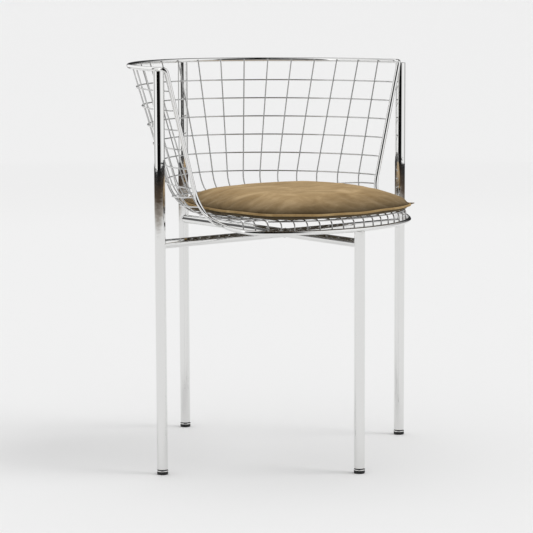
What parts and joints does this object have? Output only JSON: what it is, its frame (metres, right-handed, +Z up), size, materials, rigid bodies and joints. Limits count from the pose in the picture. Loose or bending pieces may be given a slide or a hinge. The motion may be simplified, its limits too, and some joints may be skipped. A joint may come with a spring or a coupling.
{
  "type": "wire mesh chair",
  "caption": "Low-backed wire mesh bucket chair on four round tube legs in a diamond plan, with crossed stretchers and a loose round-cornered seat cushion.",
  "frame": {"origin": "on the floor, under the middle of the chair's outline", "axes": "+X to the sitter's left, -Y to the front, +Z up"},
  "size_m": [0.5744, 0.5523, 0.7187],
  "materials": {
    "chrome_tube": "polished chrome plate",
    "chrome_wire": "polished chrome plate",
    "black_pad": "matte black",
    "suede": "brushed suede cloth",
    "suede_welt": "brushed suede cloth over cord"
  },
  "bodies": {
    "chair_frame": {"left_leg": "chrome_tube", "right_leg": "chrome_tube", "back_leg": "chrome_tube", "front_leg": "chrome_tube", "side_stretcher": "chrome_tube", "back_stretcher": "chrome_tube", "front_stretcher": "chrome_tube", "rim_rod": "chrome_wire", "right_ribs": "chrome_wire", "middle_rib": "chrome_wire", "left_ribs": "chrome_wire", "wall_hoop_1": "chrome_wire", "wall_hoop_2": "chrome_wire", "wall_hoop_3": "chrome_wire", "wall_hoop_4": "chrome_wire", "wall_hoop_5": "chrome_wire", "wall_hoop_6": "chrome_wire", "bend_hoop_1": "chrome_wire", "bend_hoop_2": "chrome_wire", "seat_rows": "chrome_wire", "roll_wire": "chrome_wire", "leg_caps": "chrome_wire", "foot_collars": "chrome_wire", "foot_glides": "black_pad"},
    "loose_cushion": {"cushion": "suede", "cushion_welt": "suede_welt"}
  },
  "joints": [
    {"name": "cushion_lift", "type": "slide", "parent": "chair_frame", "child": "loose_cushion", "axis": [0, 0, 1], "range_m": [0, 0.35]}
  ]
}
